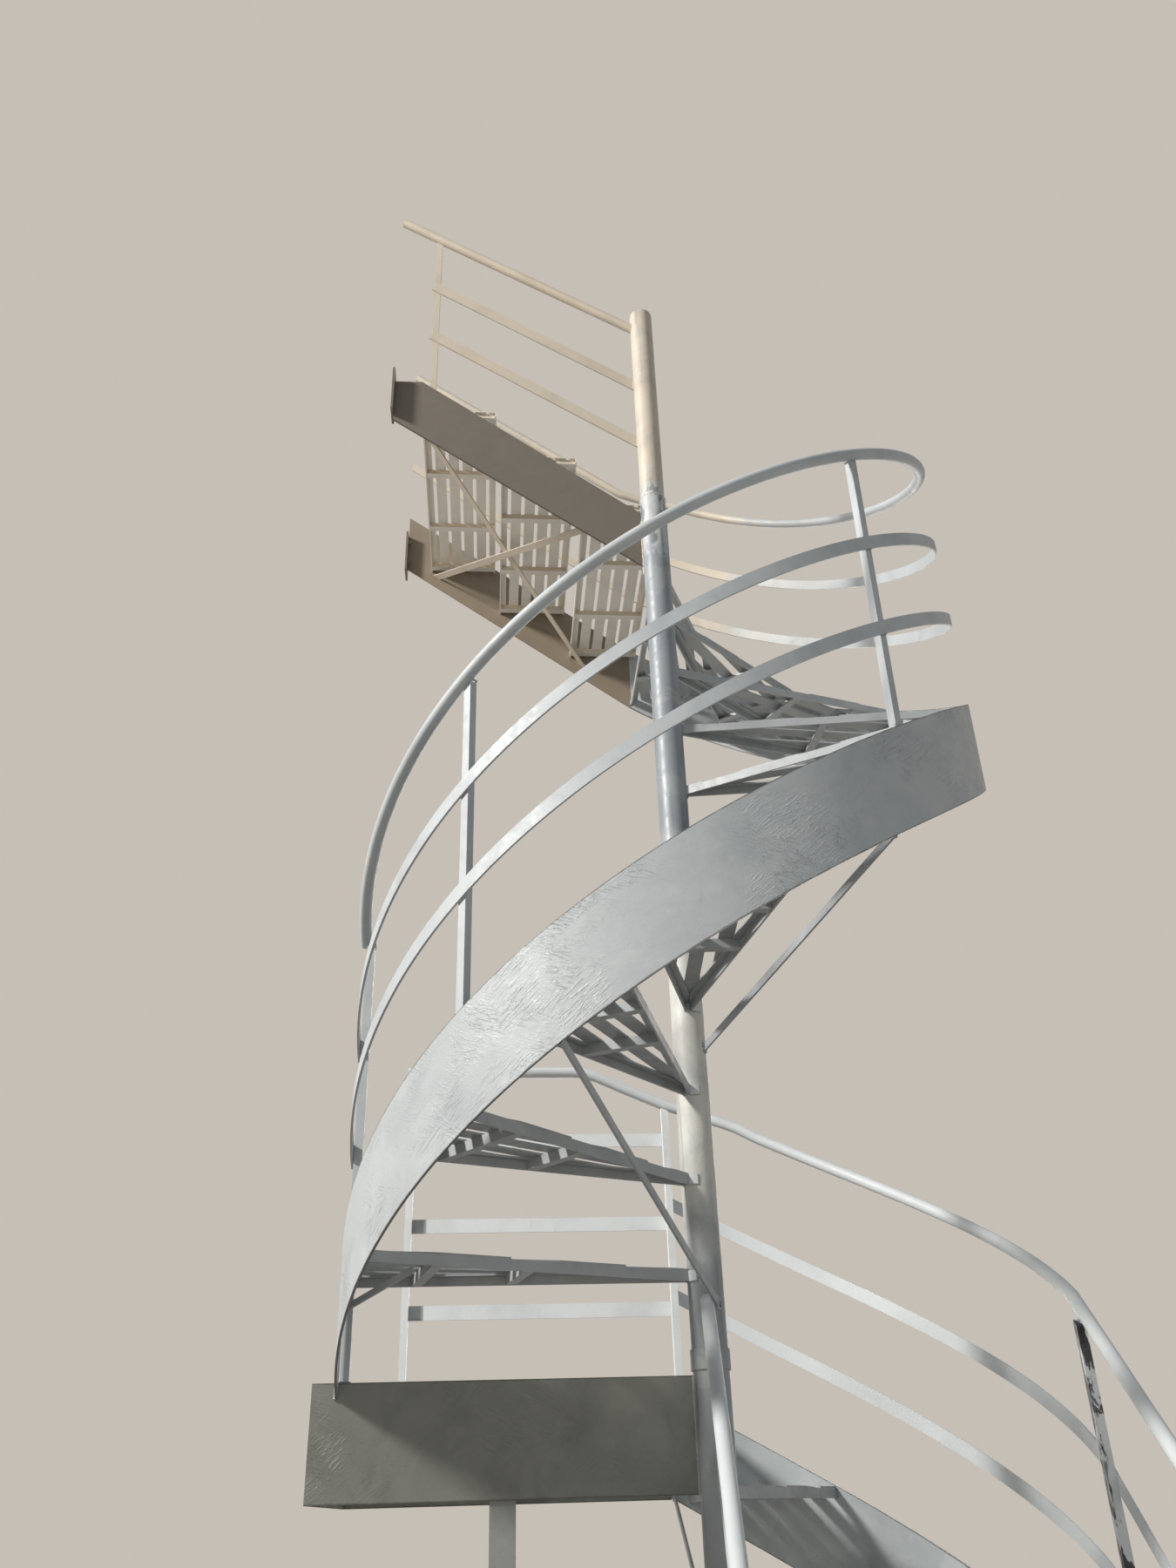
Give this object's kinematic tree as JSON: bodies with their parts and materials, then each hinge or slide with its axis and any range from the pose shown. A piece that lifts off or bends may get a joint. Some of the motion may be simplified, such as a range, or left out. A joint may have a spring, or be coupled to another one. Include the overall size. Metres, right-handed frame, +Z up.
{
  "type": "exterior spiral fire escape stair",
  "caption": "Outdoor steel escape stair: wedge treads spiral round one column between a lower flight with a landing and a straight upper flight.",
  "frame": {"origin": "on the column axis at ground level, in the middle of the base plate's underside", "axes": "+Z up; +Y to the wall side; the upper flight runs to the balcony towards -X; the lower flight comes down towards -Y"},
  "size_m": [1.847, 2.3286, 6.1238],
  "materials": {
    "grey_paint": "brushed grey paint, worn",
    "cream_paint": "satin cream paint"
  },
  "bodies": {
    "root": {"column_lower_pipe": "grey_paint", "column_upper_pipe": "cream_paint", "column_collar": "grey_paint", "column_base_plate": "grey_paint", "spiral_stringer": "grey_paint", "upper_far_stringer": "cream_paint", "upper_near_stringer": "cream_paint", "spiral_tread_1": "grey_paint", "spiral_tread_2": "grey_paint", "spiral_tread_3": "grey_paint", "spiral_tread_4": "grey_paint", "spiral_tread_5": "grey_paint", "spiral_tread_6": "grey_paint", "spiral_tread_7": "grey_paint", "spiral_tread_8": "grey_paint", "spiral_tread_9": "grey_paint", "spiral_tread_10": "grey_paint", "spiral_tread_11": "grey_paint", "upper_treads": "cream_paint", "spiral_top_rail": "grey_paint", "spiral_flat_rails": "grey_paint", "spiral_posts": "grey_paint", "near_top_rail": "cream_paint", "near_flat_rails": "cream_paint", "near_post": "cream_paint", "landing_front_plate": "grey_paint", "landing_side_plates": "grey_paint", "landing_deck": "grey_paint", "landing_legs": "grey_paint", "landing_guard": "grey_paint", "lower_top_rail": "grey_paint", "lower_flat_rails": "grey_paint", "lower_posts": "grey_paint", "lower_curved_stringer": "grey_paint", "lower_outer_stringer": "grey_paint", "lower_inner_stringer": "grey_paint", "lower_tread_1": "grey_paint", "lower_tread_2": "grey_paint", "lower_tread_3": "grey_paint", "lower_straight_treads": "grey_paint", "inner_top_rail": "grey_paint", "inner_flat_rails": "grey_paint", "column_braces": "grey_paint", "upper_cross_braces": "cream_paint", "balcony_cleats": "cream_paint"}
  },
  "joints": []
}
